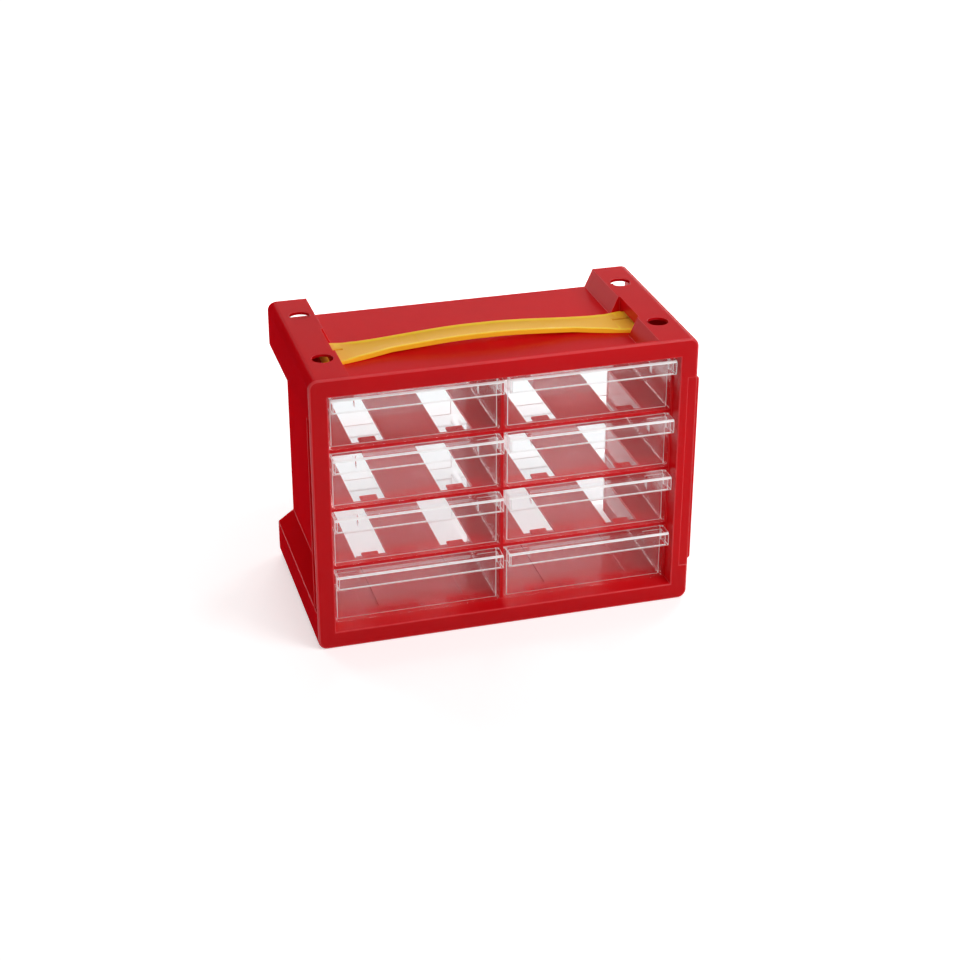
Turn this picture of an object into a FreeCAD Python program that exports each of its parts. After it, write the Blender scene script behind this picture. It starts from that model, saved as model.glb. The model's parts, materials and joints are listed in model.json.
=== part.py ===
import FreeCAD, Part
import math
import os

# Small-parts cabinet with eight clear drawers and a carry strap.
# Millimetres. X runs to the right, Y to the back, Z up.
# The origin is on the floor under the middle of the cabinet.

# Overall size of the moulded shell
width = 300.0
depth = 160.0
height = 225.0
wall = 2.5
corner_radius = 7.0
side_recess = 12.9

# Front bezel
bezel_depth = 15.0
bezel_face = 14.0
bezel_step = 1.4
outer_edge_radius = 1.6
opening_edge_radius = 0.9

# Channel between the rails on top
channel_depth = 14.6
channel_land = 3.5
channel_radius = 13.5
channel_edge_radius = 1.0

# Rails, one along each top side
rail_width = 31.0
rail_slope = 6.5
rail_skirt = 35.5
rail_edge_radius = 2.0
skirt_edge_radius = 1.0
hole_diameter = 16.3
hole_inset = 19.0
hole_spacing = 86.0
hole_middle_y = 2.5

# Feet, one along each bottom side
foot_height = 31.0
ledge_rise = 9.3
ledge_edge_radius = 1.5

# Shelves and divider
rows = 4
shelf_thickness = 2.6
divider_thickness = 2.5
shelf_depth = 98.0
slot_width = 25.0
slot_offset = 34.0
slot_front_margin = 8.0
slot_rear_margin = 5.0
crossbar_thickness = 1.4
stop_tab_width = 13.0
stop_tab_length = 8.0
stop_tab_thickness = 1.8

# Drawers
drawer_side_gap = 0.85
drawer_top_gap = 0.775
drawer_front_setback = 14.0
drawer_back_gap = 8.0
drawer_wall = 2.0
drawer_corner_radius = 3.0
drawer_edge_radius = 0.6
drawer_side_drop = 1.6
drawer_back_drop = 5.0
lip_reach = 12.0
lip_height = 11.2
lip_corner_radius = 1.5
gusset_offset = 47.0
gusset_thickness = 1.2
gusset_drop = 2.5
catch_width = 12.0
catch_length = 2.0
catch_depth = 1.0
catch_back_margin = 7.0
catch_clearance = 0.2

# Carry strap
strap_width = 23.0
strap_thickness = 3.0
strap_middle_y = -3.0
strap_arch_height = 5.2
strap_flat_half = 55.0
strap_ramp_setback = 26.5
strap_bend_radius = 200.0
strap_rib_width = 4.0
strap_rib_height = 0.8
strap_rib_setback = 14.0
strap_floor_gap = 0.3
strap_lift = 1.5
strap_front_flare_start = 48.0
strap_rear_flare_start = 24.0
strap_flare_radius = 30.0
strap_shoulder_length = 8.0
strap_shoulder_narrowing = 1.8
fork_slot_width = 2.5
fork_slot_length = 13.0
fork_slot_shift = 4.3
barb_length = 3.7
barb_overlap = 1.7
barb_edge_radius = 1.2

# Pocket in each rail that takes an end of the strap
pocket_width = 44.0
pocket_middle_y = -6.0
pocket_setback = 1.5
pocket_side_gap = 2.0
window_side_gap = 0.5
window_top_gap = 0.5
strap_end_gap = 0.3

# Tongue and groove that join cabinets side by side
tongue_height = 3.0
tongue_width = 6.0
tongue_from_front = 4.0
tongue_bottom = 31.0
tongue_top = 192.0
tongue_top_chamfer = 2.0
tongue_bottom_taper = 4.0
groove_clearance = 1.0
groove_extra_depth = 0.5
strip_width = 7.5
strip_depth = 0.6
strip_margin = 1.0

# Places worked out from the sizes above
half_width = width / 2
front_y = -depth / 2
rear_y = depth / 2
bezel_back_y = front_y + bezel_depth
opening_half = half_width - bezel_face
roof_top = height - channel_depth
roof_bottom = roof_top - wall
side_inner = opening_half - bezel_step
side_outer = half_width - side_recess
rail_inner_top = half_width - rail_width
rail_inner_bottom = rail_inner_top - rail_slope
rail_bottom = height - rail_skirt
shelf_rear_y = bezel_back_y + shelf_depth
cell_inner = divider_thickness / 2
cell_width = side_inner - cell_inner
cell_middle = (side_inner + cell_inner) / 2
cell_height = (roof_bottom - bezel_face - (rows - 1) * shelf_thickness) / rows
row_pitch = cell_height + shelf_thickness
slot_front_y = bezel_back_y + slot_front_margin
slot_rear_y = shelf_rear_y - slot_rear_margin
stop_y = slot_front_y + stop_tab_length
drawer_half = cell_width / 2 - drawer_side_gap
drawer_height = cell_height - drawer_top_gap
drawer_front_y = front_y + drawer_front_setback
drawer_rear_y = rear_y - drawer_back_gap
catch_y = drawer_rear_y - catch_back_margin - catch_length
drawer_travel = catch_y - stop_y - catch_clearance
pocket_front_y = pocket_middle_y - pocket_width / 2
pocket_rear_y = pocket_middle_y + pocket_width / 2
pocket_back = rail_inner_top + pocket_setback
strap_bottom = roof_top + strap_floor_gap
window_half = pocket_width / 2 - pocket_side_gap - barb_overlap + window_side_gap
window_top = strap_bottom + strap_thickness + strap_lift + window_top_gap


def space_xz(y):
    """Put outline points (across, up) in the plane at this depth."""
    return lambda a, b: FreeCAD.Vector(a, y, b)


def space_yz(x):
    """Put outline points (back, up) in the plane at this x."""
    return lambda a, b: FreeCAD.Vector(x, a, b)


def space_xy(z):
    """Put outline points (across, back) in the plane at this height."""
    return lambda a, b: FreeCAD.Vector(a, b, z)


def corner_arc(before, corner, after, radius):
    """Start, middle and end of the arc that rounds one corner."""
    to_before = (before - corner).normalize()
    to_after = (after - corner).normalize()
    half_angle = to_before.getAngle(to_after) / 2
    reach = radius / math.tan(half_angle)
    bisector = (to_before + to_after).normalize()
    middle = corner + bisector * (radius / math.sin(half_angle) - radius)
    return corner + to_before * reach, middle, corner + to_after * reach


def outline_face(points, to_space):
    """Flat face inside an outline; a point's third number rounds its corner."""
    corners = [to_space(point[0], point[1]) for point in points]
    count = len(corners)
    arcs = []
    for i, point in enumerate(points):
        if len(point) > 2 and point[2] > 0:
            arcs.append(corner_arc(corners[i - 1], corners[i], corners[(i + 1) % count], point[2]))
        else:
            arcs.append((corners[i], None, corners[i]))
    edges = []
    for i, (start, middle, end) in enumerate(arcs):
        if middle is not None:
            edges.append(Part.Arc(start, middle, end).toShape())
        following = arcs[(i + 1) % count][0]
        if end.distanceToPoint(following) > 1e-6:
            edges.append(Part.LineSegment(end, following).toShape())
    return Part.Face(Part.Wire(edges))


def prism_along_y(points, y0, y1):
    """Solid with an (x, z) outline from y0 to y1."""
    return outline_face(points, space_xz(y0)).extrude(FreeCAD.Vector(0, y1 - y0, 0))


def prism_along_x(points, x0, x1):
    """Solid with a (y, z) outline from x0 to x1."""
    return outline_face(points, space_yz(x0)).extrude(FreeCAD.Vector(x1 - x0, 0, 0))


def prism_along_z(points, z0, z1):
    """Solid with an (x, y) outline from z0 to z1."""
    return outline_face(points, space_xy(z0)).extrude(FreeCAD.Vector(0, 0, z1 - z0))


def block(x0, x1, y0, y1, z0, z1):
    """Box between two corners."""
    return Part.makeBox(x1 - x0, y1 - y0, z1 - z0, FreeCAD.Vector(x0, y0, z0))


def other_side(shape):
    """The same shape on the left side of the cabinet."""
    return shape.mirror(FreeCAD.Vector(0, 0, 0), FreeCAD.Vector(1, 0, 0))


def edges_in_plane(shape, y):
    """Edges of a shape that lie flat in the plane at this depth."""
    near = 1e-3
    return [e for e in shape.Edges if abs(e.BoundBox.YMin - y) < near and abs(e.BoundBox.YMax - y) < near]


def save(shape, name):
    """Write one sub-part to its own file."""
    solid = shape.removeSplitter()
    if len(solid.Solids) == 1:
        solid = solid.Solids[0]
    solid.exportStep("parts/" + name + ".step")
    print(name, len(solid.Solids), "solid", round(solid.Volume / 1000, 2), "cm3", solid.isValid())


def channel_space():
    """Open space between the rails, with its curved front."""
    beyond = channel_depth
    across = [
        (-rail_inner_bottom, roof_top),
        (rail_inner_bottom, roof_top),
        (rail_inner_top, height, rail_edge_radius),
        (half_width, height),
        (half_width, height + beyond),
        (-half_width, height + beyond),
        (-half_width, height),
        (-rail_inner_top, height, rail_edge_radius),
    ]
    land_y = front_y + channel_land
    along = [
        (land_y, roof_top, channel_radius),
        (rear_y + beyond, roof_top),
        (rear_y + beyond, height + beyond),
        (front_y, height + beyond),
        (front_y, height),
        (land_y, height, channel_edge_radius),
    ]
    side_to_side = prism_along_y(across, front_y, rear_y + beyond)
    return side_to_side.common(prism_along_x(along, -half_width, half_width))


def rail_hollow(y0, y1):
    """Space inside the right-hand rail."""
    slope_back = wall * math.hypot(rail_slope, channel_depth) / channel_depth
    top_run = rail_slope * (channel_depth - wall) / channel_depth
    corners = [
        (rail_inner_bottom + slope_back, roof_top),
        (rail_inner_bottom + slope_back + top_run, height - wall),
        (half_width - wall, height - wall, corner_radius - wall),
        (half_width - wall, rail_bottom + wall),
        (side_outer, rail_bottom + wall),
        (side_outer, roof_top),
    ]
    return prism_along_y(corners, y0, y1)


def front_bezel():
    """Hollow picture-frame front with its curved head, tongue and groove."""
    outer = [
        (-half_width, 0, corner_radius),
        (half_width, 0, corner_radius),
        (half_width, height, corner_radius),
        (-half_width, height, corner_radius),
    ]
    frame = prism_along_y(outer, front_y, bezel_back_y)
    frame = frame.makeFillet(outer_edge_radius, edges_in_plane(frame, front_y))
    frame = frame.cut(block(-opening_half, opening_half, front_y, bezel_back_y, bezel_face, roof_top))
    frame = frame.makeFillet(opening_edge_radius, opening_edges(frame))
    frame = frame.cut(bezel_hollow())
    frame = frame.cut(channel_space())
    frame = frame.cut(marker_strip())
    return groove_in(frame).fuse(tongue())


def opening_edges(frame):
    """Front edges round the opening."""
    reach = opening_half + wall / 2
    flat = edges_in_plane(frame, front_y)
    return [e for e in flat if -reach < e.BoundBox.XMin and e.BoundBox.XMax < reach]


def bezel_hollow():
    """Space inside the sill, the uprights and the ends of the head, open at the back."""
    inside_y = front_y + wall
    whole = prism_along_y(
        [
            (-half_width + wall, wall, corner_radius - wall),
            (half_width - wall, wall, corner_radius - wall),
            (half_width - wall, roof_top),
            (-half_width + wall, roof_top),
        ],
        inside_y,
        bezel_back_y,
    )
    round_opening = opening_half + wall
    kept = block(-round_opening, round_opening, inside_y, bezel_back_y, bezel_face - wall, roof_top)
    right_end = rail_hollow(inside_y, bezel_back_y)
    return whole.cut(kept).fuse([right_end, other_side(right_end)])


def marker_strip():
    """Shallow strip down the right edge of the bezel's face."""
    return block(
        half_width - strip_width,
        half_width,
        front_y,
        front_y + strip_depth,
        tongue_bottom - strip_margin,
        tongue_top + strip_margin,
    )


def tongue():
    """Tongue on the right side of the bezel."""
    y0 = front_y + tongue_from_front
    out = half_width + tongue_height
    profile = [
        (half_width, tongue_bottom),
        (out, tongue_bottom + tongue_bottom_taper),
        (out, tongue_top - tongue_top_chamfer),
        (out - tongue_top_chamfer, tongue_top),
        (half_width, tongue_top),
    ]
    return prism_along_y(profile, y0, y0 + tongue_width)


def groove_in(frame):
    """Groove on the left side that takes the next cabinet's tongue."""
    y0 = front_y + tongue_from_front - groove_clearance
    y1 = y0 + tongue_width + 2 * groove_clearance
    deep = tongue_height + groove_extra_depth
    backing = block(
        -half_width + wall / 2,
        -half_width + deep + wall,
        front_y + wall / 2,
        y1 + wall,
        tongue_bottom - wall,
        tongue_top + wall,
    )
    groove = block(-half_width, -half_width + deep, y0, y1, tongue_bottom, tongue_top)
    return frame.fuse(backing).cut(groove)


def side_wall():
    """Right side wall, set in behind the bezel."""
    return block(side_inner, side_outer, bezel_back_y, rear_y, 0, roof_top)


def foot():
    """Right foot: a hollow ledge along the bottom of the side."""
    ledge_z = foot_height + ledge_rise
    outer = [
        (side_outer, 0),
        (half_width, 0, corner_radius),
        (half_width, foot_height, ledge_edge_radius),
        (side_outer, ledge_z),
    ]
    ledge_run = half_width - side_outer
    drop = wall * math.hypot(ledge_rise, ledge_run) / ledge_run
    inner = [
        (side_outer, wall),
        (half_width - wall, wall, corner_radius - wall),
        (half_width - wall, foot_height + ledge_rise * wall / ledge_run - drop),
        (side_outer, ledge_z - drop),
    ]
    solid = prism_along_y(outer, bezel_back_y, rear_y)
    return solid.cut(prism_along_y(inner, bezel_back_y, rear_y))


def rail():
    """Right rail: a hollow hump over the side wall, with two holes and a pocket."""
    outer = [
        (rail_inner_bottom, roof_top),
        (rail_inner_top, height, rail_edge_radius),
        (half_width, height, corner_radius),
        (half_width, rail_bottom, skirt_edge_radius),
        (side_outer, rail_bottom),
        (side_outer, roof_top),
    ]
    hump = prism_along_y(outer, bezel_back_y, rear_y)
    shell = hump.cut(rail_hollow(bezel_back_y, rear_y))
    pocket_walls = hump.common(
        block(0, pocket_back + wall, pocket_front_y - wall, pocket_rear_y + wall, roof_top, height)
    )
    shell = shell.fuse(pocket_walls)
    shell = shell.cut(block(0, pocket_back, pocket_front_y, pocket_rear_y, roof_top, height))
    window = block(
        pocket_back,
        pocket_back + wall,
        pocket_middle_y - window_half,
        pocket_middle_y + window_half,
        roof_top,
        window_top,
    )
    shell = shell.cut(window)
    for y in (hole_middle_y - hole_spacing / 2, hole_middle_y + hole_spacing / 2):
        centre = FreeCAD.Vector(half_width - hole_inset, y, height - 2 * wall)
        shell = shell.cut(Part.makeCylinder(hole_diameter / 2, 3 * wall, centre))
    return shell


def roof_plate():
    """Floor of the channel and roof of the top drawers; its front end curves up."""
    flat = block(-side_inner, side_inner, bezel_back_y, rear_y, roof_bottom, roof_top)
    above = block(-rail_inner_bottom, rail_inner_bottom, bezel_back_y, rear_y, roof_top, height)
    return flat.fuse(above.cut(channel_space()))


def shelf(level):
    """Right-hand shelf under the drawer at this level, with two slots."""
    top = shelf_top(level)
    low = top - shelf_thickness
    plate = block(cell_inner, side_inner, bezel_back_y, shelf_rear_y, low, top)
    for middle in (cell_middle - slot_offset, cell_middle + slot_offset):
        x0 = middle - slot_width / 2
        x1 = middle + slot_width / 2
        plate = plate.cut(block(x0, x1, slot_front_y, slot_rear_y, low, top))
        plate = plate.cut(block(x0, x1, slot_rear_y, shelf_rear_y, low + crossbar_thickness, top))
        tab = block(
            middle - stop_tab_width / 2,
            middle + stop_tab_width / 2,
            slot_front_y,
            stop_y,
            top - stop_tab_thickness,
            top,
        )
        plate = plate.fuse(tab)
    return plate


def shelf_top(level):
    """Height of the surface that the drawers at this level stand on."""
    return bezel_face + row_pitch * level


def bottom_plate():
    """Closed plate under the lowest drawers, with a groove for each catch."""
    plate = block(
        -side_inner, side_inner, bezel_back_y, shelf_rear_y, bezel_face - shelf_thickness, bezel_face
    )
    groove_depth = shelf_thickness - crossbar_thickness
    for column in (-cell_middle, cell_middle):
        for middle in (column - slot_offset, column + slot_offset):
            plate = plate.cut(
                block(
                    middle - stop_tab_width / 2,
                    middle + stop_tab_width / 2,
                    stop_y,
                    shelf_rear_y,
                    bezel_face - groove_depth,
                    bezel_face,
                )
            )
    return plate


def divider():
    """Upright wall between the two columns of drawers."""
    return block(-cell_inner, cell_inner, bezel_back_y, shelf_rear_y, bezel_face, roof_bottom)


def tub_outline(inset, top, radius):
    """Cross-section of a drawer's tub, drawn in by this much."""
    half = drawer_half - inset
    return [
        (-half, inset, radius),
        (half, inset, radius),
        (half, top),
        (-half, top),
    ]


def drawer():
    """One clear drawer about its cell's middle, standing at height zero."""
    side_top = drawer_height - drawer_side_drop
    tub = prism_along_y(tub_outline(0, drawer_height, drawer_corner_radius), drawer_front_y, drawer_rear_y)
    tub = tub.makeFillet(drawer_edge_radius, u_edges(tub, drawer_front_y))
    tub = tub.makeFillet(drawer_edge_radius, u_edges(tub, drawer_rear_y))
    panel_back_y = drawer_front_y + drawer_wall
    inside = prism_along_y(
        tub_outline(drawer_wall, drawer_height, drawer_corner_radius - drawer_wall),
        panel_back_y,
        drawer_rear_y - drawer_wall,
    )
    tub = tub.cut(inside)
    tub = tub.cut(block(-drawer_half, drawer_half, panel_back_y, drawer_rear_y, side_top, drawer_height))
    inside_half = drawer_half - drawer_wall
    back_y = drawer_rear_y - drawer_wall
    back_top = drawer_height - drawer_back_drop
    tub = tub.cut(block(-inside_half, inside_half, back_y, drawer_rear_y, back_top, drawer_height))
    return tub.fuse(finger_lip()).fuse(catches())


def u_edges(shape, y):
    """Edges round one end of a drawer's tub, except along its open top."""
    below = drawer_height - 1e-3
    return [e for e in edges_in_plane(shape, y) if e.BoundBox.ZMin < below]


def finger_lip():
    """Hooked lip along the top of a drawer's front, with ends and gussets."""
    lip_y = drawer_front_y - lip_reach
    low = drawer_height - lip_height
    in_panel_y = drawer_front_y + drawer_wall / 2
    profile = [
        (in_panel_y, drawer_height),
        (in_panel_y, low),
        (lip_y, low, lip_corner_radius),
        (lip_y, drawer_height, drawer_edge_radius),
    ]
    lip = prism_along_x(profile, -drawer_half, drawer_half)
    inside_half = drawer_half - drawer_wall
    under = drawer_height - drawer_wall
    lip = lip.cut(block(-inside_half, inside_half, lip_y + drawer_wall, drawer_front_y, low, under))
    for x in (-gusset_offset, gusset_offset):
        x0 = x - gusset_thickness / 2
        x1 = x + gusset_thickness / 2
        lip = lip.fuse(block(x0, x1, lip_y + drawer_wall / 2, in_panel_y, low + gusset_drop, under))
    return lip


def catches():
    """Two low ribs under the back that meet the shelf's stop tabs."""
    ribs = []
    for x in (-slot_offset, slot_offset):
        ribs.append(
            block(
                x - catch_width / 2,
                x + catch_width / 2,
                catch_y,
                catch_y + catch_length,
                -catch_depth,
                drawer_wall / 2,
            )
        )
    return ribs


def strap_side(raise_top):
    """Side view of the strap's low arch, from end to end."""
    end = pocket_back + wall + strap_end_gap + barb_length
    ramp_end = pocket_back - strap_ramp_setback
    low = strap_bottom
    arch = roof_top + strap_arch_height
    thick = strap_thickness + raise_top
    bend = strap_bend_radius
    return [
        (-end, low),
        (-ramp_end, low, bend),
        (-strap_flat_half, arch, bend),
        (strap_flat_half, arch, bend),
        (ramp_end, low, bend),
        (end, low),
        (end, low + thick),
        (ramp_end, low + thick, bend),
        (strap_flat_half, arch + thick, bend),
        (-strap_flat_half, arch + thick, bend),
        (-ramp_end, low + thick, bend),
        (-end, low + thick),
    ]


def strap_plan():
    """Outline of the strap from above, with a barbed foot at each end."""
    half = strap_width / 2
    shoulder_x = pocket_back - strap_end_gap
    neck_x = pocket_back + wall + strap_end_gap
    end_x = neck_x + barb_length
    shoulder_half = pocket_width / 2 - pocket_side_gap
    neck_half = window_half - window_side_gap
    front = strap_middle_y - half
    rear = strap_middle_y + half
    front_wide = pocket_middle_y - shoulder_half
    rear_wide = pocket_middle_y + shoulder_half
    front_neck = pocket_middle_y - neck_half
    rear_neck = pocket_middle_y + neck_half
    flare = strap_flare_radius
    wide_x = shoulder_x - strap_shoulder_length
    narrower = strap_shoulder_narrowing
    front_half = [
        (pocket_back - strap_front_flare_start, front, flare),
        (wide_x, front_wide + narrower, flare / 2),
        (shoulder_x, front_wide),
        (shoulder_x, front_neck),
        (neck_x, front_neck),
        (neck_x, front_wide, barb_edge_radius),
        (end_x, front_neck, barb_edge_radius),
    ]
    rear_half = [
        (end_x, rear_neck, barb_edge_radius),
        (neck_x, rear_wide, barb_edge_radius),
        (neck_x, rear_neck),
        (shoulder_x, rear_neck),
        (shoulder_x, rear_wide),
        (wide_x, rear_wide - narrower, flare / 2),
        (pocket_back - strap_rear_flare_start, rear, flare / 2),
    ]
    right = front_half + rear_half
    left = [(-p[0],) + tuple(p[1:]) for p in reversed(right)]
    return right + left


def fork_slots():
    """Slot that splits each end of the strap into two prongs."""
    y = pocket_middle_y + fork_slot_shift
    end_x = pocket_back + wall + strap_end_gap + barb_length
    start_x = pocket_back - fork_slot_length
    round_end = fork_slot_width / 2 - 0.01
    slot = prism_along_z(
        [
            (start_x, y - fork_slot_width / 2, round_end),
            (end_x + wall, y - fork_slot_width / 2),
            (end_x + wall, y + fork_slot_width / 2),
            (start_x, y + fork_slot_width / 2, round_end),
        ],
        roof_top,
        height,
    )
    return slot.fuse(other_side(slot))


def carry_strap():
    """Flexible strap that lies in a low arch, with a raised rib along each edge."""
    y0 = pocket_front_y
    y1 = pocket_rear_y
    band = prism_along_y(strap_side(0), y0, y1)
    raised = prism_along_y(strap_side(strap_rib_height), y0, y1)
    plan = prism_along_z(strap_plan(), roof_top, height)
    rib_end = pocket_back - strap_rib_setback
    for y in (strap_middle_y - strap_width / 2, strap_middle_y + strap_width / 2 - strap_rib_width):
        rib = block(-rib_end, rib_end, y, y + strap_rib_width, roof_top, height)
        band = band.fuse(raised.common(rib))
    return band.common(plan).cut(fork_slots())


os.makedirs("parts", exist_ok=True)

save(front_bezel(), "front_bezel")
save(side_wall(), "right_side_wall")
save(other_side(side_wall()), "left_side_wall")
save(foot(), "right_foot")
save(other_side(foot()), "left_foot")
save(rail(), "right_rail")
save(other_side(rail()), "left_rail")
save(roof_plate(), "roof_plate")
save(bottom_plate(), "bottom_plate")
save(divider(), "divider")
for shelf_level in range(1, rows):
    save(shelf(shelf_level), "right_shelf_" + str(shelf_level))
    save(other_side(shelf(shelf_level)), "left_shelf_" + str(shelf_level))
one_drawer = drawer()
for row in range(rows):
    for side_name, middle_x in (("left", -cell_middle), ("right", cell_middle)):
        placed = one_drawer.translated(FreeCAD.Vector(middle_x, 0, shelf_top(row)))
        save(placed, side_name + "_drawer_" + str(row + 1))
save(carry_strap(), "carry_strap")
print("drawer travel", round(drawer_travel, 2), "mm, strap lift", strap_lift, "mm")
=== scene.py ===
import json
import math

import bmesh
import bpy
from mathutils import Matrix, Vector


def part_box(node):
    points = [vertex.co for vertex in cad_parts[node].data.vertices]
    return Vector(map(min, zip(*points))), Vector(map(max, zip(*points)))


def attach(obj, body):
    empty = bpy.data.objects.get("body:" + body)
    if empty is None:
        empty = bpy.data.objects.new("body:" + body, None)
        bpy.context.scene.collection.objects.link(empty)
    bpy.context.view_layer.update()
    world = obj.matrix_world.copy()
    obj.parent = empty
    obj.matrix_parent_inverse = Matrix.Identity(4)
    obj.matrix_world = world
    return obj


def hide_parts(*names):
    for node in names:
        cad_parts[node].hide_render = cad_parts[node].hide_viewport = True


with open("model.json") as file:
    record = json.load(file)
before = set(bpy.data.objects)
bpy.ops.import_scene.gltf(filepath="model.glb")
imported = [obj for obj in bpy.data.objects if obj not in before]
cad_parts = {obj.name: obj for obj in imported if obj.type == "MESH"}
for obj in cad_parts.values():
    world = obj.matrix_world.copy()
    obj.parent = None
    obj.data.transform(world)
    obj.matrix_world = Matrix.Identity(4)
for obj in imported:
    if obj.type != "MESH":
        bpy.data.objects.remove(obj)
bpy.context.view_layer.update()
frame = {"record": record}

mm = 0.001


# Cabinet moulding
# One red polypropylene moulding: bezel, sides set in behind it, hollow feet and rails, roof, shelves and
# divider. The drawers slide on its shelves, and the strap snaps into its rails.

bezel_low, bezel_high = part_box("front_bezel")
side_low, side_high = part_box("right_side_wall")
foot_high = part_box("right_foot")[1]
rail_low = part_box("right_rail")[0]
roof_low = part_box("roof_plate")[0]
plate_low, plate_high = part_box("bottom_plate")
divider_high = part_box("divider")[1]
shelf_boxes = [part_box("right_shelf_" + str(level)) for level in (1, 2, 3)]

half_width = -bezel_low.x
front_y = bezel_low.y
bezel_back_y = bezel_high.y
shelf_rear_y = divider_high.y
rear_y = side_high.y
top_z = bezel_high.z
roof_z = side_high.z
wall = 2.5 * mm
past = 5 * mm  # how far a cutting tool reaches beyond what it cuts

corner_radius = 7 * mm
face_edge_radius = 1.6 * mm
opening_half = half_width - plate_high.z
opening_edge_radius = 0.9 * mm
channel_land = 3.5 * mm
channel_radius = 13.5 * mm
rail_slope = 6.5 * mm
foot_height = 31 * mm
ledge_slope = (foot_high.z - foot_height) / (half_width - side_high.x)

cell_middle = (divider_high.x + side_low.x) / 2
cell_floors = [plate_high.z] + [high.z for low, high in shelf_boxes]
cell_ceilings = [low.z for low, high in shelf_boxes] + [roof_low.z]
slot_width = 25 * mm
slot_offset = 34 * mm
slot_front_y = bezel_back_y + 8 * mm
slot_rear_y = shelf_rear_y - 5 * mm
stop_y = slot_front_y + 8 * mm
stop_tab_width = 13 * mm
stop_tab_thickness = 1.8 * mm
slot_lap = 0.5 * mm  # how far the cuts that make one slot run into each other
crossbar = 1.4 * mm

hole_radius = 8.15 * mm
hole_x = half_width - 19 * mm
hole_ys = (-40.5 * mm, 45.5 * mm)
hole_facets = 48
pocket_ys = (-28 * mm, 16 * mm)
pocket_x = rail_low.x + rail_slope + 1.5 * mm
window_ys = (-24.8 * mm, 12.8 * mm)
window_height = 5.3 * mm
window_lap = 1 * mm

tongue_ys = (front_y + 4 * mm, front_y + 10 * mm)
tongue_zs = (31 * mm, 192 * mm)
tongue_foot_taper = 4 * mm
tongue_tip_chamfer = 2 * mm
groove_depth = 3.5 * mm
groove_clearance = 1 * mm
strip_width = 7.5 * mm
strip_depth = 0.6 * mm
strip_margin = 1 * mm

moulded_edge = 0.3 * mm
sharp_angle = math.radians(40)  # edges sharper than this get the small moulded radius
arc_steps = 8
small_arc_steps = 4
same_place = 0.01 * mm
one_point = 0.002 * mm  # points nearer to each other than this become one
flat_angle = math.radians(0.02)  # faces that meet flatter than this become one


def add_box(solid, low, high):
    """Add a box between two corners to a mesh and return its vertices."""
    verts = bmesh.ops.create_cube(solid, size=1.0)["verts"]
    for vert in verts:
        vert.co = [high[axis] if vert.co[axis] > 0 else low[axis] for axis in range(3)]
    return verts


def add_pair(solid, low, high):
    """Add a box on the right and its mirror image on the left."""
    right = add_box(solid, low, high)
    left = add_box(solid, (-high[0], low[1], low[2]), (-low[0], high[1], high[2]))
    return right + left


def near(a, b):
    """True if two places are the same to a hundredth of a millimetre."""
    return abs(a - b) < same_place


def edges_where(verts, test):
    """Edges among these vertices whose two ends both pass a test, always in the same order."""
    found = dict.fromkeys(edge for vert in verts for edge in vert.link_edges)
    return [edge for edge in found if all(test(vert.co) for vert in edge.verts)]


def along_y(edges):
    """The edges that run from front to back."""
    return [edge for edge in edges if (edge.verts[0].co - edge.verts[1].co).xz.length < same_place]


def round_edges(solid, edges, radius, steps):
    """Round the given edges of a mesh."""
    bmesh.ops.bevel(
        solid, geom=edges, offset=radius, offset_type="OFFSET", affect="EDGES",
        segments=steps, profile=0.5, material=-1, clamp_overlap=False,
    )


def mesh_object(name, solid):
    """Put a finished mesh into the scene under this name."""
    mesh = bpy.data.meshes.new(name)
    solid.to_mesh(mesh)
    solid.free()
    made = bpy.data.objects.new(name, mesh)
    bpy.context.scene.collection.objects.link(made)
    return made


def put_in_order(solid):
    """Number the points, edges and faces by place, so that every run goes on from the same mesh."""
    for items, place in (
        (solid.verts, lambda vert: tuple(vert.co)),
        (solid.edges, lambda edge: sorted(vert.index for vert in edge.verts)),
        (solid.faces, lambda face: sorted(vert.index for vert in face.verts)),
    ):
        numbers = {item: number for number, item in enumerate(sorted(items, key=place))}
        items.sort(key=numbers.get)
        items.index_update()


def combine(solid, tool, operation):
    """Cut a tool from a solid, or weld it on; the tool is used up."""
    put_in_order(solid)
    base_object = mesh_object("base", solid.copy())
    tool_object = mesh_object("tool", tool)
    step = base_object.modifiers.new("combine", "BOOLEAN")
    step.operation = operation
    step.solver = "EXACT"
    step.use_self = True
    step.object = tool_object
    bpy.context.view_layer.update()
    made = base_object.evaluated_get(bpy.context.evaluated_depsgraph_get()).to_mesh()
    solid.clear()
    solid.from_mesh(made)
    for used in (base_object, tool_object):
        bpy.data.meshes.remove(used.data)
    put_in_order(solid)
    bmesh.ops.remove_doubles(solid, verts=solid.verts, dist=one_point)
    bmesh.ops.dissolve_limit(solid, angle_limit=flat_angle, verts=solid.verts, edges=solid.edges)
    put_in_order(solid)


def cut_outer_form(solid):
    """Take the channel between the rails and the set-in sides out of the block."""
    tool = bmesh.new()
    land_y = front_y + channel_land
    channel = add_box(tool, (-rail_low.x, land_y, roof_z), (rail_low.x, rear_y + past, 2 * top_z - roof_z))
    for vert in channel:
        if vert.co.z > top_z:
            vert.co.x += math.copysign(2 * rail_slope, vert.co.x)
    foot_of_front = edges_where(channel, lambda co: near(co.z, roof_z) and near(co.y, land_y))
    round_edges(tool, foot_of_front, channel_radius, 2 * arc_steps)
    run = half_width + past - side_high.x
    low = (side_high.x, bezel_back_y, foot_high.z)
    for vert in add_pair(tool, low, (half_width + past, rear_y + past, rail_low.z)):
        if abs(vert.co.x) > half_width and near(vert.co.z, foot_high.z):
            vert.co.z -= ledge_slope * run
    combine(solid, tool, "DIFFERENCE")


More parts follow.
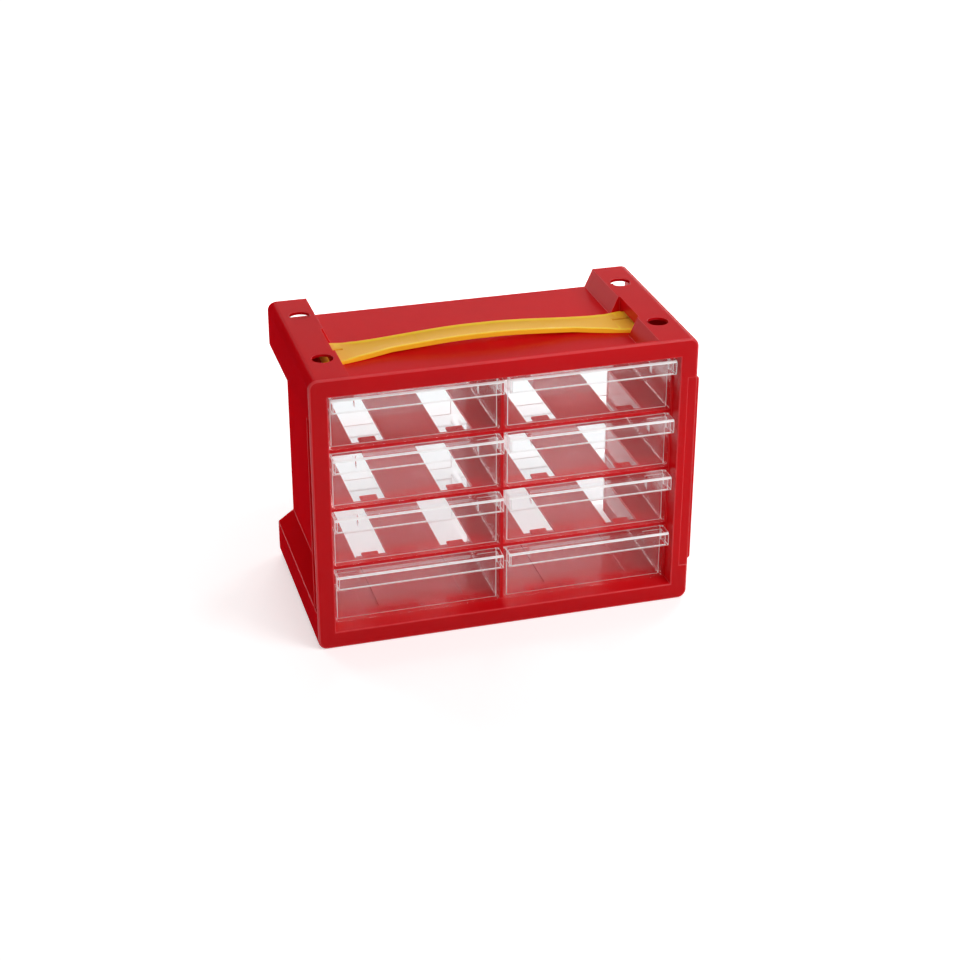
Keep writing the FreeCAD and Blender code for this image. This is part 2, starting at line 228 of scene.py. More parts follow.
def cut_opening_and_cells(solid):
    """Take out the bezel's opening, the eight cells and the open space behind the shelves."""
    tool = bmesh.new()
    add_box(tool, (-opening_half, front_y - past, plate_high.z), (opening_half, bezel_back_y, roof_z))
    combine(solid, tool, "DIFFERENCE")
    reach = opening_half + wall

    def on_rim(co):
        """True on the edge where the bezel's face meets the opening."""
        return near(co.y, front_y) and abs(co.x) < reach and wall < co.z < roof_z + wall

    round_edges(solid, edges_where(solid.verts, on_rim), opening_edge_radius, small_arc_steps)
    tool = bmesh.new()
    for floor_z, ceiling_z in zip(cell_floors, cell_ceilings):
        low = (divider_high.x, bezel_back_y - past, floor_z)
        add_pair(tool, low, (side_low.x, shelf_rear_y + past, ceiling_z))
    add_box(tool, (-side_low.x, shelf_rear_y, -past), (side_low.x, rear_y + past, roof_low.z))
    add_box(tool, (-side_low.x, bezel_back_y - wall, -past), (side_low.x, shelf_rear_y + past, plate_low.z))
    combine(solid, tool, "DIFFERENCE")


def cut_hollows(solid):
    """Hollow the bezel, the feet and the rails, as the mould's cores do."""
    tool = bmesh.new()
    inner_y = front_y + wall
    outer_x = half_width - wall
    hollow_radius = corner_radius - wall
    uprights = add_pair(tool, (opening_half + wall, inner_y, wall), (outer_x, bezel_back_y, roof_z))
    sill = add_box(tool, (-outer_x, inner_y, wall), (outer_x, bezel_back_y, plate_low.z))
    foot_hollow_top = foot_high.z - wall * math.hypot(1, ledge_slope)
    low = (side_high.x, bezel_back_y - wall, wall)
    feet = add_pair(tool, low, (outer_x, rear_y + past, foot_hollow_top))
    for vert in feet:
        if near(abs(vert.co.x), outer_x) and near(vert.co.z, foot_hollow_top):
            vert.co.z -= ledge_slope * (outer_x - side_high.x)
    low_outer = edges_where(uprights + sill + feet, lambda co: near(abs(co.x), outer_x) and near(co.z, wall))
    round_edges(tool, along_y(low_outer), hollow_radius, arc_steps)
    combine(solid, tool, "DIFFERENCE")
    tool = bmesh.new()
    add_pair(tool, (side_high.x, inner_y, rail_low.z + wall), (outer_x, rear_y + past, roof_z + wall))
    hollow_top = top_z - wall
    slope_per_height = rail_slope / (top_z - roof_z)
    inner_x = rail_low.x + wall * math.hypot(1, slope_per_height)
    stretches = (
        (inner_x, inner_y, pocket_ys[0] - wall),
        (pocket_x + wall, inner_y, rear_y + past),
        (inner_x, pocket_ys[1] + wall, rear_y + past),
    )
    for x, y0, y1 in stretches:
        verts = add_pair(tool, (x, y0, roof_z), (outer_x, y1, hollow_top))
        for vert in verts:
            if near(abs(vert.co.x), inner_x) and vert.co.z > roof_z + wall:
                vert.co.x += math.copysign(slope_per_height * (hollow_top - roof_z), vert.co.x)
        top_outer = edges_where(verts, lambda co: near(abs(co.x), outer_x) and near(co.z, hollow_top))
        round_edges(tool, along_y(top_outer), hollow_radius, arc_steps)
    combine(solid, tool, "DIFFERENCE")


def cut_slots(solid):
    """Two slots in each shelf with a stop tab at the front, and shallow grooves in the bottom plate."""
    tool = bmesh.new()
    for column in (-cell_middle, cell_middle):
        for middle in (column - slot_offset, column + slot_offset):
            x0, x1 = middle - slot_width / 2, middle + slot_width / 2
            tab_x0, tab_x1 = middle - stop_tab_width / 2, middle + stop_tab_width / 2
            for low, high in shelf_boxes:
                z0, z1 = low.z - slot_lap, high.z + slot_lap
                tab_z = high.z - stop_tab_thickness
                add_box(tool, (x0, stop_y, z0), (x1, slot_rear_y, z1))
                add_box(tool, (x0, slot_front_y, z0), (tab_x0, stop_y + slot_lap, z1))
                add_box(tool, (tab_x1, slot_front_y, z0), (x1, stop_y + slot_lap, z1))
                add_box(tool, (x0, slot_front_y, z0), (x1, stop_y + slot_lap, tab_z))
                above_bar = (x0, slot_rear_y - slot_lap, low.z + crossbar)
                add_box(tool, above_bar, (x1, shelf_rear_y + slot_lap, z1))
            groove = (tab_x0, stop_y, plate_low.z + crossbar)
            add_box(tool, groove, (tab_x1, shelf_rear_y + slot_lap, plate_high.z + slot_lap))
    combine(solid, tool, "DIFFERENCE")


def cut_rail_details(solid):
    """The strap's pockets and windows, and the four round holes in the rails' tops."""
    tool = bmesh.new()
    low = (rail_low.x - past, pocket_ys[0], roof_z)
    add_pair(tool, low, (pocket_x, pocket_ys[1], top_z + past))
    low = (pocket_x - window_lap, window_ys[0], roof_z)
    add_pair(tool, low, (pocket_x + wall + window_lap, window_ys[1], roof_z + window_height))
    for x in (-hole_x, hole_x):
        for y in hole_ys:
            made = bmesh.ops.create_cone(
                tool, cap_ends=True, segments=hole_facets,
                radius1=hole_radius, radius2=hole_radius, depth=3 * wall,
            )
            bmesh.ops.translate(tool, vec=(x, y, top_z - wall / 2), verts=made["verts"])
    combine(solid, tool, "DIFFERENCE")


def join_tongue_and_groove(solid):
    """Tongue on the right, groove on the left and a shallow strip down the right of the face."""
    tool = bmesh.new()
    y0, y1 = tongue_ys
    z0, z1 = tongue_zs
    verts = add_box(tool, (half_width - wall / 2, y0, z0), (bezel_high.x, y1, z1))
    for vert in verts:
        if near(vert.co.x, bezel_high.x) and near(vert.co.z, z0):
            vert.co.z += tongue_foot_taper
    tip = edges_where(verts, lambda co: near(co.x, bezel_high.x) and near(co.z, z1))
    round_edges(tool, tip, tongue_tip_chamfer, 1)
    groove_x = -half_width + groove_depth
    groove_y0, groove_y1 = y0 - groove_clearance, y1 + groove_clearance
    backing_low = (-half_width + wall / 2, front_y + wall / 2, z0 - wall)
    add_box(tool, backing_low, (groove_x + wall, groove_y1 + wall, z1 + wall))
    combine(solid, tool, "UNION")
    tool = bmesh.new()
    add_box(tool, (-half_width - past, groove_y0, z0), (groove_x, groove_y1, z1))
    low = (half_width - strip_width, front_y - past, z0 - strip_margin)
    add_box(tool, low, (half_width + past, front_y + strip_depth, z1 + strip_margin))
    combine(solid, tool, "DIFFERENCE")


cabinet = bmesh.new()
block = add_box(cabinet, (-half_width, front_y, 0), (half_width, rear_y, top_z))
round_edges(cabinet, along_y(edges_where(block, lambda co: True)), corner_radius, arc_steps)
face_edges = edges_where(cabinet.verts, lambda co: near(co.y, front_y))
round_edges(cabinet, face_edges, face_edge_radius, small_arc_steps)
cut_outer_form(cabinet)
cut_opening_and_cells(cabinet)
cut_hollows(cabinet)
join_tongue_and_groove(cabinet)
cut_slots(cabinet)
cut_rail_details(cabinet)
# Edge roundings and the face's rounded rim take the third material, a paler, glossier red: a painted
# highlight along the edges.
main_slot, side_slot, edge_highlight_slot = range(3)
for face in cabinet.faces:
    middle = face.calc_center_median()
    faces_out = face.normal.x * math.copysign(1, middle.x) > 0.3
    on_side = faces_out and abs(middle.x) > side_high.x - same_place
    on_face_rounding = middle.y < front_y + face_edge_radius and -0.99 < face.normal.y < -0.01
    face.material_index = edge_highlight_slot if on_face_rounding else side_slot if on_side else main_slot
cabinet_moulding = mesh_object("cabinet_moulding", cabinet)


def soften(made, width, steps, slot, chosen_by="ANGLE"):
    """Give a moulded piece its small edge radius, in this material slot, and smooth shading."""
    made.data.shade_smooth()
    bevel = made.modifiers.new("moulded_edges", "BEVEL")
    bevel.width = width
    bevel.segments = steps
    bevel.limit_method = chosen_by
    bevel.angle_limit = sharp_angle
    bevel.use_clamp_overlap = False
    bevel.material = slot
    weighted = made.modifiers.new("even_shading", "WEIGHTED_NORMAL")
    weighted.keep_sharp = False
    weighted.weight = 100


soften(cabinet_moulding, moulded_edge, 2, slot=edge_highlight_slot)
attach(cabinet_moulding, "cabinet")
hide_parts(*frame["record"]["behaviour"]["bodies"]["cabinet"])


def moulded_plastic_group():
    """Slow colour mottling, fine mould grain and faint sheen changes that every moulded part has."""
    group = bpy.data.node_groups.new("moulded_plastic", "ShaderNodeTree")
    for socket, kind, value in (
        ("Color", "NodeSocketColor", (0.5, 0.5, 0.5, 1)),
        ("Mottling", "NodeSocketFloat", 0.08),
        ("Roughness", "NodeSocketFloat", 0.35),
        ("Sheen Change", "NodeSocketFloat", 0.08),
        ("Grain Size", "NodeSocketFloat", 900),
        ("Grain Depth", "NodeSocketFloat", 0),
        ("Wave Depth", "NodeSocketFloat", 0),
    ):
        group.interface.new_socket(socket, in_out="INPUT", socket_type=kind).default_value = value
    for socket, kind in (
        ("Color", "NodeSocketColor"),
        ("Roughness", "NodeSocketFloat"),
        ("Height", "NodeSocketFloat"),
    ):
        group.interface.new_socket(socket, in_out="OUTPUT", socket_type=kind)
    nodes, links = group.nodes, group.links
    given = nodes.new("NodeGroupInput")
    result = nodes.new("NodeGroupOutput")
    place = nodes.new("ShaderNodeTexCoord")

    def noise(scale, detail):
        """Noise of this many cells a metre on the piece's own place."""
        made = nodes.new("ShaderNodeTexNoise")
        made.inputs["Scale"].default_value = scale
        made.inputs["Detail"].default_value = detail
        links.new(place.outputs["Object"], made.inputs["Vector"])
        return made

    def spread(source, amount, middle):
        """Turn noise round one half into a change of this size round a middle value."""
        centred = nodes.new("ShaderNodeMath")
        centred.operation = "SUBTRACT"
        links.new(source, centred.inputs[0])
        centred.inputs[1].default_value = 0.5
        scaled = nodes.new("ShaderNodeMath")
        scaled.operation = "MULTIPLY_ADD"
        links.new(centred.outputs[0], scaled.inputs[0])
        links.new(amount, scaled.inputs[1])
        if isinstance(middle, (int, float)):
            scaled.inputs[2].default_value = middle
        else:
            links.new(middle, scaled.inputs[2])
        return scaled.outputs[0]

    tone = spread(noise(scale=14, detail=3).outputs["Fac"], given.outputs["Mottling"], 1)
    shade = nodes.new("ShaderNodeVectorMath")
    shade.operation = "SCALE"
    links.new(given.outputs["Color"], shade.inputs[0])
    links.new(tone, shade.inputs["Scale"])
    links.new(shade.outputs[0], result.inputs["Color"])
    patches = noise(scale=45, detail=4)
    sheen = spread(patches.outputs["Fac"], given.outputs["Sheen Change"], given.outputs["Roughness"])
    links.new(sheen, result.inputs["Roughness"])
    grain = noise(scale=900, detail=2)
    links.new(given.outputs["Grain Size"], grain.inputs["Scale"])
    waves = spread(noise(scale=9, detail=1).outputs["Fac"], given.outputs["Wave Depth"], 0)
    links.new(spread(grain.outputs["Fac"], given.outputs["Grain Depth"], waves), result.inputs["Height"])
    return group


def plastic_material(name, color, mottling, roughness, sheen_change, grain_size, grain_depth, wave_depth):
    """A material with the moulded surface; grain size is cells a metre. Returns it with its shader."""
    material = bpy.data.materials.new(name)
    material.use_nodes = True
    nodes, links = material.node_tree.nodes, material.node_tree.links
    shader = nodes["Principled BSDF"]
    surface = nodes.new("ShaderNodeGroup")
    surface.node_tree = moulded_plastic
    surface.inputs["Color"].default_value = color
    surface.inputs["Mottling"].default_value = mottling
    surface.inputs["Roughness"].default_value = roughness
    surface.inputs["Sheen Change"].default_value = sheen_change
    surface.inputs["Grain Size"].default_value = grain_size
    surface.inputs["Grain Depth"].default_value = grain_depth
    surface.inputs["Wave Depth"].default_value = wave_depth
    links.new(surface.outputs["Color"], shader.inputs["Base Color"])
    links.new(surface.outputs["Roughness"], shader.inputs["Roughness"])
    bump = nodes.new("ShaderNodeBump")
    bump.inputs["Strength"].default_value = 1
    bump.inputs["Distance"].default_value = 1
    links.new(surface.outputs["Height"], bump.inputs["Height"])
    links.new(bump.outputs["Normal"], shader.inputs["Normal"])
    return material, shader


moulded_plastic = moulded_plastic_group()
red = (0.72, 0.004, 0.009, 1)
painted_highlight_red = (0.84, 0.045, 0.055, 1)


def red_material(name, color, gloss, **surface):
    """The cabinet's red, which lets a little light soak in."""
    material, shader = plastic_material(name, color=color, mottling=0.12, **surface)
    shader.inputs["Specular IOR Level"].default_value = gloss
    shader.inputs["Subsurface Weight"].default_value = 0.5
    shader.inputs["Subsurface Radius"].default_value = (1, 0.08, 0.08)
    shader.inputs["Subsurface Scale"].default_value = 6 * mm
    cabinet_moulding.data.materials.append(material)


red_material(
    "red_plastic_moulding", color=red, gloss=0.1, roughness=0.2,
    sheen_change=0.1, grain_size=700, grain_depth=0.008 * mm, wave_depth=0.4 * mm,
)
red_material(
    "red_plastic_textured_sides", color=red, gloss=0, roughness=0.6,
    sheen_change=0.2, grain_size=1500, grain_depth=0.04 * mm, wave_depth=0.4 * mm,
)
# The paler red on the edges is a painted highlight, standing in for the light that the small edge roundings
# catch.
red_material(
    "red_plastic_edges_painted_highlight", color=painted_highlight_red, gloss=0.3, roughness=0.25,
    sheen_change=0.1, grain_size=700, grain_depth=0.008 * mm, wave_depth=0.4 * mm,
)


# Drawers
# Eight clear polystyrene drawers from one mould: panel, tub with open top, hooked finger lip with two
# gussets, and two catch ribs under the back. Each one lies loose on its shelf.

drawer_low, drawer_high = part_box("right_drawer_1")
drawer_wall = 2 * mm
drawer_half = (drawer_high.x - drawer_low.x) / 2
drawer_height = 45.75 * mm
drawer_lift = 0.1 * mm  # keeps the tub's floor off the shelf's top, so that the two don't share a plane
tub_corner_radius = 3 * mm
tub_corner_steps = 6
tub_end_radius = 0.6 * mm
tub_end_steps = 3
side_drop = 1.6 * mm
back_drop = 5 * mm
lip_reach = 12 * mm
lip_height = 11.2 * mm
lip_nose_radius = 1.5 * mm
lip_nose_steps = 5
panel_y = drawer_low.y + lip_reach
gusset_offset = 47 * mm
gusset_thickness = 1.2 * mm
gusset_drop = 2.5 * mm
catch_ys = (63 * mm, 65 * mm)
catch_half = 6 * mm
catch_depth = 1 * mm
drawer_edge = 0.5 * mm


def long_low_edges(verts, z):
    """The two edges from front to back at this height."""
    return along_y(edges_where(verts, lambda co: near(co.z, z)))


clear_slot, milky_highlight_slot = range(2)


def drawer_mesh():
    """One drawer about its cell's middle, standing at height zero."""
    solid = bmesh.new()
    rear_y = drawer_high.y
    tub = add_box(solid, (-drawer_half, panel_y, drawer_lift), (drawer_half, rear_y, drawer_height))
    round_edges(solid, long_low_edges(tub, drawer_lift), tub_corner_radius, tub_corner_steps)
    for y in (panel_y, rear_y):
        rim = edges_where(solid.verts, lambda co: near(co.y, y))
        below_top = [edge for edge in rim if min(vert.co.z for vert in edge.verts) < drawer_height - wall]
        round_edges(solid, below_top, tub_end_radius, tub_end_steps)
    tool = bmesh.new()
    inner_half = drawer_half - drawer_wall
    inner_y = panel_y + drawer_wall
    low = (-inner_half, inner_y, drawer_wall)
    hollow = add_box(tool, low, (inner_half, rear_y - drawer_wall, drawer_height + past))
    inner_radius = tub_corner_radius - drawer_wall
    round_edges(tool, long_low_edges(hollow, drawer_wall), inner_radius, small_arc_steps)
    combine(solid, tool, "DIFFERENCE")
    tool = bmesh.new()
    low = (-drawer_half - past, inner_y, drawer_height - side_drop)
    add_box(tool, low, (drawer_half + past, rear_y + past, drawer_height + past))
    low = (-inner_half, rear_y - 2 * drawer_wall, drawer_height - back_drop)
    add_box(tool, low, (inner_half, rear_y + past, drawer_height + past))
    combine(solid, tool, "DIFFERENCE")
    lip = bmesh.new()
    lip_z = drawer_height - lip_height
    lip_back_y = panel_y + drawer_wall / 2
    verts = add_box(lip, (-drawer_half, drawer_low.y, lip_z), (drawer_half, lip_back_y, drawer_height))
    nose = edges_where(lip.verts, lambda co: near(co.y, drawer_low.y) and near(co.z, drawer_height))
    round_edges(lip, nose, lip_nose_radius, lip_nose_steps)
    tool = bmesh.new()
    under = drawer_height - drawer_wall
    lip_inner_y = drawer_low.y + drawer_wall
    add_box(tool, (-inner_half, lip_inner_y, lip_z - past), (inner_half, lip_back_y + past, under))
    combine(lip, tool, "DIFFERENCE")
    combine(solid, lip, "UNION")
    for x in (-gusset_offset, gusset_offset):
        low = (x - gusset_thickness / 2, lip_inner_y - drawer_wall / 2, lip_z + gusset_drop)
        tool = bmesh.new()
        add_box(tool, low, (x + gusset_thickness / 2, lip_back_y, under + drawer_wall / 2))
        combine(solid, tool, "UNION")
    tool = bmesh.new()
    for x in (-slot_offset, slot_offset):
        low = (x - catch_half, catch_ys[0], -catch_depth)
        add_box(tool, low, (x + catch_half, catch_ys[1], drawer_wall / 2))
    combine(solid, tool, "UNION")
    # The lip's rounded nose takes the milky edge material, whose white glow is a painted highlight.
    for face in solid.faces:
        middle = face.calc_center_median()
        on_nose = middle.y < drawer_low.y + lip_nose_radius and middle.z > drawer_height - lip_nose_radius
        face.material_index = milky_highlight_slot if on_nose else clear_slot
    rounded = solid.edges.layers.float.new("bevel_weight_edge")
    for edge in solid.edges:
        on_gusset = all(abs(abs(vert.co.x) - gusset_offset) < gusset_thickness for vert in edge.verts)
        edge[rounded] = 0 if on_gusset or edge.calc_face_angle(0) < sharp_angle else 1
    return solid


clear_white = (0.97, 0.98, 0.985, 1)


def clear_material(name, roughness, through, coat_ior):
    """Clear plastic; 'through' is how much of the light passes unscattered."""
    material, shader = plastic_material(
        name, color=clear_white, mottling=0.02, roughness=roughness,
        sheen_change=0.03, grain_size=160, grain_depth=0.01 * mm, wave_depth=0.15 * mm,
    )
    shader.inputs["Transmission Weight"].default_value = through
    # No bending of the light: bent rays end up trapped and dark in thin walls. The coat gives the gloss.
    shader.inputs["IOR"].default_value = 1
    shader.inputs["Coat Weight"].default_value = 1
    shader.inputs["Coat IOR"].default_value = coat_ior
    shader.inputs["Coat Roughness"].default_value = 0.03
    return material


clear_plastic = clear_material("clear_drawer_plastic", roughness=0.02, through=0.99, coat_ior=1.25)
milky_highlight_edge = clear_material("clear_drawer_edge_painted_highlight", roughness=0.3, through=0.15, coat_ior=1.5)
highlight_edge_shader = milky_highlight_edge.node_tree.nodes["Principled BSDF"]
# The edge material is partly milky plastic and partly painted highlight: its faint white glow stands in for
# the light that the drawers' rounded edges catch.
highlight_edge_shader.inputs["Emission Color"].default_value = (1, 1, 1, 1)
highlight_edge_shader.inputs["Emission Strength"].default_value = 0.22

shared_drawer = drawer_mesh()
for row, floor_z in enumerate(cell_floors, start=1):
    for side, middle_x in (("left", -cell_middle), ("right", cell_middle)):
        node = side + "_drawer_" + str(row)
        placed = shared_drawer.copy()
        bmesh.ops.translate(placed, vec=(middle_x, 0, floor_z), verts=placed.verts)
        clear_drawer = mesh_object("clear_" + node, placed)
        clear_drawer.data.materials.append(clear_plastic)
        clear_drawer.data.materials.append(milky_highlight_edge)
        soften(clear_drawer, drawer_edge, 3, slot=milky_highlight_slot, chosen_by="WEIGHT")
        # The thin clear walls let the light through to the cell, as the real ones do.
        clear_drawer.visible_shadow = False
        clear_drawer.visible_diffuse = False
        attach(clear_drawer, node)
        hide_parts(node)
shared_drawer.free()


# Carry strap
# A flexible yellow moulding with a raised rib along each edge. Its forked, barbed feet are pushed through
# the windows in the rails, and it lies in a low arch until it is lifted.

strap_low, strap_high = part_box("carry_strap")
strap_thickness = 3 * mm
strap_rise = 4.9 * mm
ramp_xs = (6 * mm, 108 * mm)
rib_width = 4 * mm
rib_height = 0.8 * mm
rib_slope = 1.2 * mm
rib_fade_xs = (98 * mm, 107 * mm)
foot_middle_y = -6 * mm
neck_half = 18.3 * mm
shoulder_x = 120.2 * mm
neck_x = 123.3 * mm
# Corners of the strap's front and rear edges from its middle to its end, in millimetres.
front_outline = ((0, -14.5), (72.5, -14.5), (112.2, -24.2), (120.2, -26), (123.3, -26), (127, -24.3))
rear_outline = ((0, 8.5), (96.5, 8.5), (112.2, 12.2), (120.2, 14), (123.3, 14), (127, 12.3))
outline_blend = 2.5
fork_width = 2.5 * mm
fork_y = -1.7 * mm
fork_start_x = 107.5 * mm
fork_end_radius = 1.2 * mm
fork_end_steps = 5
strap_edge = 0.5 * mm
strap_steps = 170
strips_across = 6
rib_lines = (0, 1, 5, 6)  # the lines of points along the strap that lie on its two ribs


def eased(start, end, place):
    """Nought before the start, one past the end, and a smooth change between them."""
    along = min(1, max(0, (place - start) / (end - start)))
    return along * along * (3 - 2 * along)


def arch(x):
    """How far the strap's middle lies above its ends at this place along it."""
    return strap_rise * (1 - eased(ramp_xs[0], ramp_xs[1], abs(x)))


def outline_y(outline, x):
    """Where an edge of the strap lies at this place along it, with its corners eased."""
    total = 0
    for shift in (-outline_blend, 0, outline_blend):
        place = min(outline[-1][0], abs(abs(x) / mm + shift))
        for (x0, y0), (x1, y1) in zip(outline, outline[1:]):
            if x0 <= place <= x1:
                total += y0 + (y1 - y0) * (place - x0) / (x1 - x0)
                break
    return total / 3 * mm


def strap_mesh():
    """The arched strap with a rib along each edge, its feet notched and forked."""
    solid = bmesh.new()
    bmesh.ops.create_grid(solid, x_segments=strap_steps, y_segments=strips_across, size=1)
    for vert in solid.verts:
        line = round((vert.co.y + 1) / 2 * strips_across)
        x = vert.co.x * strap_high.x
        front, rear = outline_y(front_outline, x), outline_y(rear_outline, x)
        across = (
            front, front + rib_width - rib_slope, front + rib_width, (front + rear) / 2,
            rear - rib_width, rear - rib_width + rib_slope, rear,
        )
        z = strap_low.z + arch(x) + strap_thickness
        if line in rib_lines:
            z += rib_height * (1 - eased(rib_fade_xs[0], rib_fade_xs[1], abs(x)))
        vert.co = (x, across[line], z)
    made = bmesh.ops.extrude_face_region(solid, geom=solid.faces[:])
    for vert in made["geom"]:
        if isinstance(vert, bmesh.types.BMVert):
            vert.co.z = strap_low.z + arch(vert.co.x)
    bmesh.ops.recalc_face_normals(solid, faces=solid.faces)
    tool = bmesh.new()
    slots = add_pair(
        tool, (fork_start_x, fork_y - fork_width / 2, roof_z - past),
        (strap_high.x + past, fork_y + fork_width / 2, top_z),
    )
    closed_ends = edges_where(slots, lambda co: near(abs(co.x), fork_start_x))
    upright = [edge for edge in closed_ends if abs(edge.verts[0].co.z - edge.verts[1].co.z) > wall]
    round_edges(tool, upright, fork_end_radius, fork_end_steps)
    for y0, y1 in (
        (strap_low.y - past, foot_middle_y - neck_half),
        (foot_middle_y + neck_half, strap_high.y + past),
    ):
        add_pair(tool, (shoulder_x, y0, roof_z - past), (neck_x, y1, top_z))
    combine(solid, tool, "DIFFERENCE")
    return solid


def mark_rib_glow(made):
    """Store on each point how near it is to the strap's edge, for the ribs' lighter colour and glow, which
    are painted light.
    """
    layer = made.data.attributes.new("edge", "FLOAT", "POINT")
    for vert, value in zip(made.data.vertices, layer.data):
        front, rear = outline_y(front_outline, vert.co.x), outline_y(rear_outline, vert.co.x)
        inside = min(vert.co.y - front, rear - vert.co.y)
        value.value = 1 - eased(rib_width - rib_slope, rib_width, inside)


carry_strap = mesh_object("strap_moulding", strap_mesh())
mark_rib_glow(carry_strap)
flat_yellow = (0.97, 0.52, 0.045, 1)
rib_yellow_painted_glow = (1, 0.64, 0.035, 1)
flat_glow = (0.25, 0.1, 0.005, 1)
rib_glow = (1, 0.52, 0.01, 1)
yellow_plastic, yellow_shader = plastic_material(
    "yellow_strap_plastic", color=flat_yellow, mottling=0.12, roughness=0.4,
    sheen_change=0.12, grain_size=900, grain_depth=0.02 * mm, wave_depth=0.2 * mm,
)
yellow_shader.inputs["Specular IOR Level"].default_value = 0.2
yellow_nodes, yellow_links = yellow_plastic.node_tree.nodes, yellow_plastic.node_tree.links
yellow_surface = next(node for node in yellow_nodes if node.type == "GROUP")
rib_glow_mask = yellow_nodes.new("ShaderNodeAttribute")
rib_glow_mask.attribute_name = "edge"
# The ribs' lighter colour and the glow are painted light: they stand for the daylight that shows through
# thin yellow plastic.
for on_flat, on_ribs, socket in (
    (flat_yellow, rib_yellow_painted_glow, yellow_surface.inputs["Color"]),
    (flat_glow, rib_glow, yellow_shader.inputs["Emission Color"]),
):
    blend = yellow_nodes.new("ShaderNodeMix")
    blend.data_type = "RGBA"
    blend.inputs["A"].default_value = on_flat
    blend.inputs["B"].default_value = on_ribs
    yellow_links.new(rib_glow_mask.outputs["Fac"], blend.inputs["Factor"])
    yellow_links.new(blend.outputs["Result"], socket)
yellow_shader.inputs["Emission Strength"].default_value = 0.15
carry_strap.data.materials.append(yellow_plastic)
soften(carry_strap, strap_edge, 2, slot=0)
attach(carry_strap, "carry_strap")
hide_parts("carry_strap")


# Floor
# A plain white studio floor that takes the cabinet's soft shadow. It is lifted to white where it is seen
# directly, in reflections or through the drawers, and adds no light of its own to the cabinet.

floor_half_size = 4
floor_white = (0.96, 0.96, 0.96, 1)
near_distance, near_lift = 0.4, 0.5
far_distance, far_lift = 1.8, 0.85


def seen_directly(nodes, links):
    """One for rays from the camera, a reflection or through the drawers, and nought for the others."""
    path = nodes.new("ShaderNodeLightPath")
    total = path.outputs["Is Camera Ray"]
    for kind_of_ray in ("Is Glossy Ray", "Is Transmission Ray"):
        largest = nodes.new("ShaderNodeMath")
        largest.operation = "MAXIMUM"
        links.new(total, largest.inputs[0])
        links.new(path.outputs[kind_of_ray], largest.inputs[1])
        total = largest.outputs[0]
    return total


floor = bmesh.new()
bmesh.ops.create_grid(floor, x_segments=1, y_segments=1, size=floor_half_size)
floor_object = mesh_object("studio_floor", floor)
floor_material = bpy.data.materials.new("studio_white")
floor_material.use_nodes = True
floor_nodes, floor_links = floor_material.node_tree.nodes, floor_material.node_tree.links
floor_shader = floor_nodes["Principled BSDF"]
floor_shader.inputs["Base Color"].default_value = floor_white
floor_shader.inputs["Roughness"].default_value = 0.9
floor_shader.inputs["Specular IOR Level"].default_value = 0
floor_place = floor_nodes.new("ShaderNodeTexCoord")
from_middle = floor_nodes.new("ShaderNodeVectorMath")
from_middle.operation = "LENGTH"
floor_links.new(floor_place.outputs["Object"], from_middle.inputs[0])
brighter_far_off = floor_nodes.new("ShaderNodeMapRange")
brighter_far_off.interpolation_type = "SMOOTHSTEP"
brighter_far_off.inputs["From Min"].default_value = near_distance
brighter_far_off.inputs["From Max"].default_value = far_distance
brighter_far_off.inputs["To Min"].default_value = near_lift
brighter_far_off.inputs["To Max"].default_value = far_lift
floor_links.new(from_middle.outputs["Value"], brighter_far_off.inputs["Value"])
lift = floor_nodes.new("ShaderNodeMath")
lift.operation = "MULTIPLY"
floor_links.new(brighter_far_off.outputs["Result"], lift.inputs[0])
floor_links.new(seen_directly(floor_nodes, floor_links), lift.inputs[1])
floor_shader.inputs["Emission Color"].default_value = (1, 1, 1, 1)
floor_links.new(lift.outputs[0], floor_shader.inputs["Emission Strength"])
floor_object.data.materials.append(floor_material)


# Studio
# White surroundings that darken overhead in reflections, soft lamps behind, above and in front of the
# cabinet, and the camera at the photograph's viewing angle.

world = bpy.data.worlds.new("studio")
bpy.context.scene.world = world
world.use_nodes = True
world_nodes, world_links = world.node_tree.nodes, world.node_tree.links
world_nodes["Background"].inputs["Color"].default_value = (1, 1, 1, 1)
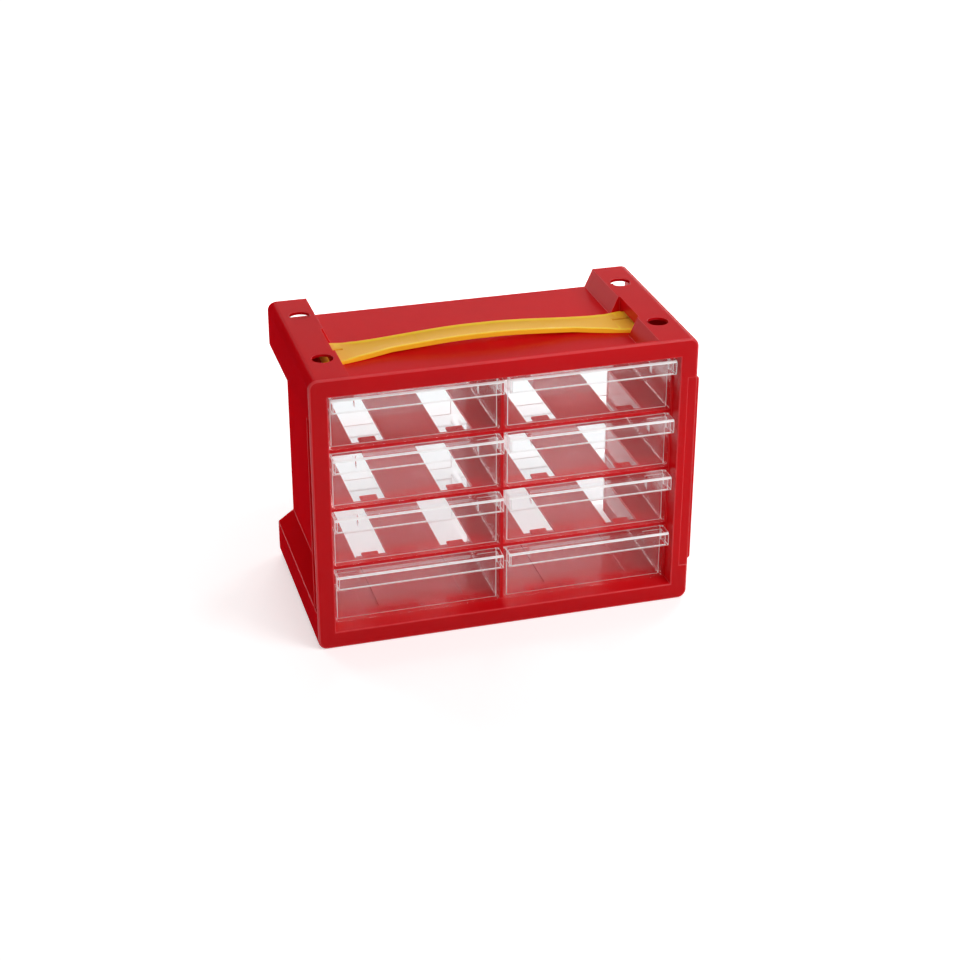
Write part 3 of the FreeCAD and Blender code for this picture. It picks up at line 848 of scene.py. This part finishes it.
# What is seen directly is white near the horizon and greyer overhead; the light on the cabinet is even.
direction = world_nodes.new("ShaderNodeTexCoord")
upward = world_nodes.new("ShaderNodeSeparateXYZ")
world_links.new(direction.outputs["Generated"], upward.inputs[0])
backdrop = world_nodes.new("ShaderNodeMapRange")
backdrop.interpolation_type = "SMOOTHSTEP"
backdrop.inputs["From Min"].default_value = 0.08
backdrop.inputs["From Max"].default_value = 0.45
backdrop.inputs["To Min"].default_value = 1
backdrop.inputs["To Max"].default_value = 0.35
world_links.new(upward.outputs["Z"], backdrop.inputs["Value"])
ambient_light = 0.18
brightness = world_nodes.new("ShaderNodeMix")
brightness.inputs["A"].default_value = ambient_light
world_links.new(seen_directly(world_nodes, world_links), brightness.inputs["Factor"])
world_links.new(backdrop.outputs["Result"], brightness.inputs["B"])
world_links.new(brightness.outputs["Result"], world_nodes["Background"].inputs["Strength"])


def add_lamp(name, place, size, power, in_gloss):
    """A soft rectangular lamp turned towards the cabinet's middle."""
    lamp = bpy.data.lights.new(name, "AREA")
    lamp.energy = power
    lamp.shape = "RECTANGLE"
    lamp.size, lamp.size_y = size
    lamp_object = bpy.data.objects.new(name, lamp)
    bpy.context.scene.collection.objects.link(lamp_object)
    lamp_object.location = place
    lamp_object.visible_glossy = in_gloss
    towards_middle = Vector((0, 0, top_z / 2)) - lamp_object.location
    lamp_object.rotation_euler = towards_middle.to_track_quat("-Z", "Y").to_euler()


add_lamp("rear_low", place=(0.3, 1.6, 0.55), size=(0.8, 0.5), power=12, in_gloss=False)
add_lamp("rear_left_low", place=(-0.9, 1.4, 0.6), size=(0.6, 0.6), power=6, in_gloss=False)
add_lamp("rear_key", place=(1.2, 1.1, 1.1), size=(0.6, 0.6), power=6, in_gloss=True)
add_lamp("overhead_strip", place=(0.2, -0.6, 1.5), size=(1.2, 0.04), power=5, in_gloss=True)
add_lamp("front_key", place=(0.6, -0.8, 0.7), size=(0.5, 0.5), power=3.3, in_gloss=True)

looks_down = math.radians(26.83)
stands_left = math.radians(15.86)
camera_data = bpy.data.cameras.new("camera")
camera_data.lens = 74.56
camera_data.sensor_width = 36
camera = bpy.data.objects.new("camera", camera_data)
bpy.context.scene.collection.objects.link(camera)
camera.location = (-0.3869, -1.3649, 0.8045)
camera.rotation_euler = (math.pi / 2 - looks_down, 0, -stands_left)
bpy.context.scene.camera = camera
bpy.context.scene.view_settings.view_transform = "Standard"
